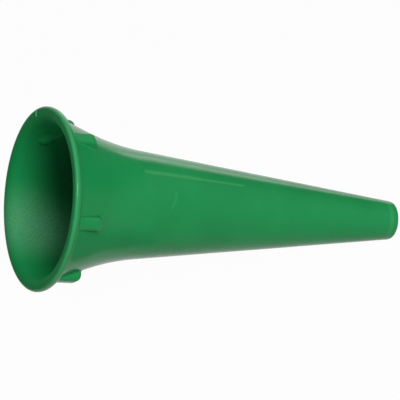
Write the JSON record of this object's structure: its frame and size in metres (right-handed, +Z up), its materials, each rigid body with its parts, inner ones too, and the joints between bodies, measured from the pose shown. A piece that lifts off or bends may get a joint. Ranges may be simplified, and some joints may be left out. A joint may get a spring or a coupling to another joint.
{
  "type": "ear speculum",
  "caption": "Tapered funnel with a flared, ribbed mouth that slides onto an otoscope and a narrow rounded tip that enters the ear canal.",
  "frame": {"origin": "bottom centre of the box, on the surface that the speculum lies on", "axes": "+Z up; +X from the wide mouth towards the narrow tip; the speculum's own axis lies in the XZ plane and dips towards the tip"},
  "size_m": [0.0414, 0.0184, 0.0181],
  "materials": {
    "moulded_green": "semi-gloss moulded polypropylene, mid green right through"
  },
  "bodies": {
    "root": {"mouth_lip": "moulded_green", "flared_bell": "moulded_green", "cone_barrel": "moulded_green", "tip_nose": "moulded_green", "grip_lug_1": "moulded_green", "grip_lug_2": "moulded_green", "grip_lug_3": "moulded_green", "grip_lug_4": "moulded_green", "grip_lug_5": "moulded_green", "grip_lug_6": "moulded_green", "bayonet_ramp_1": "moulded_green", "bayonet_ramp_2": "moulded_green"}
  },
  "joints": []
}
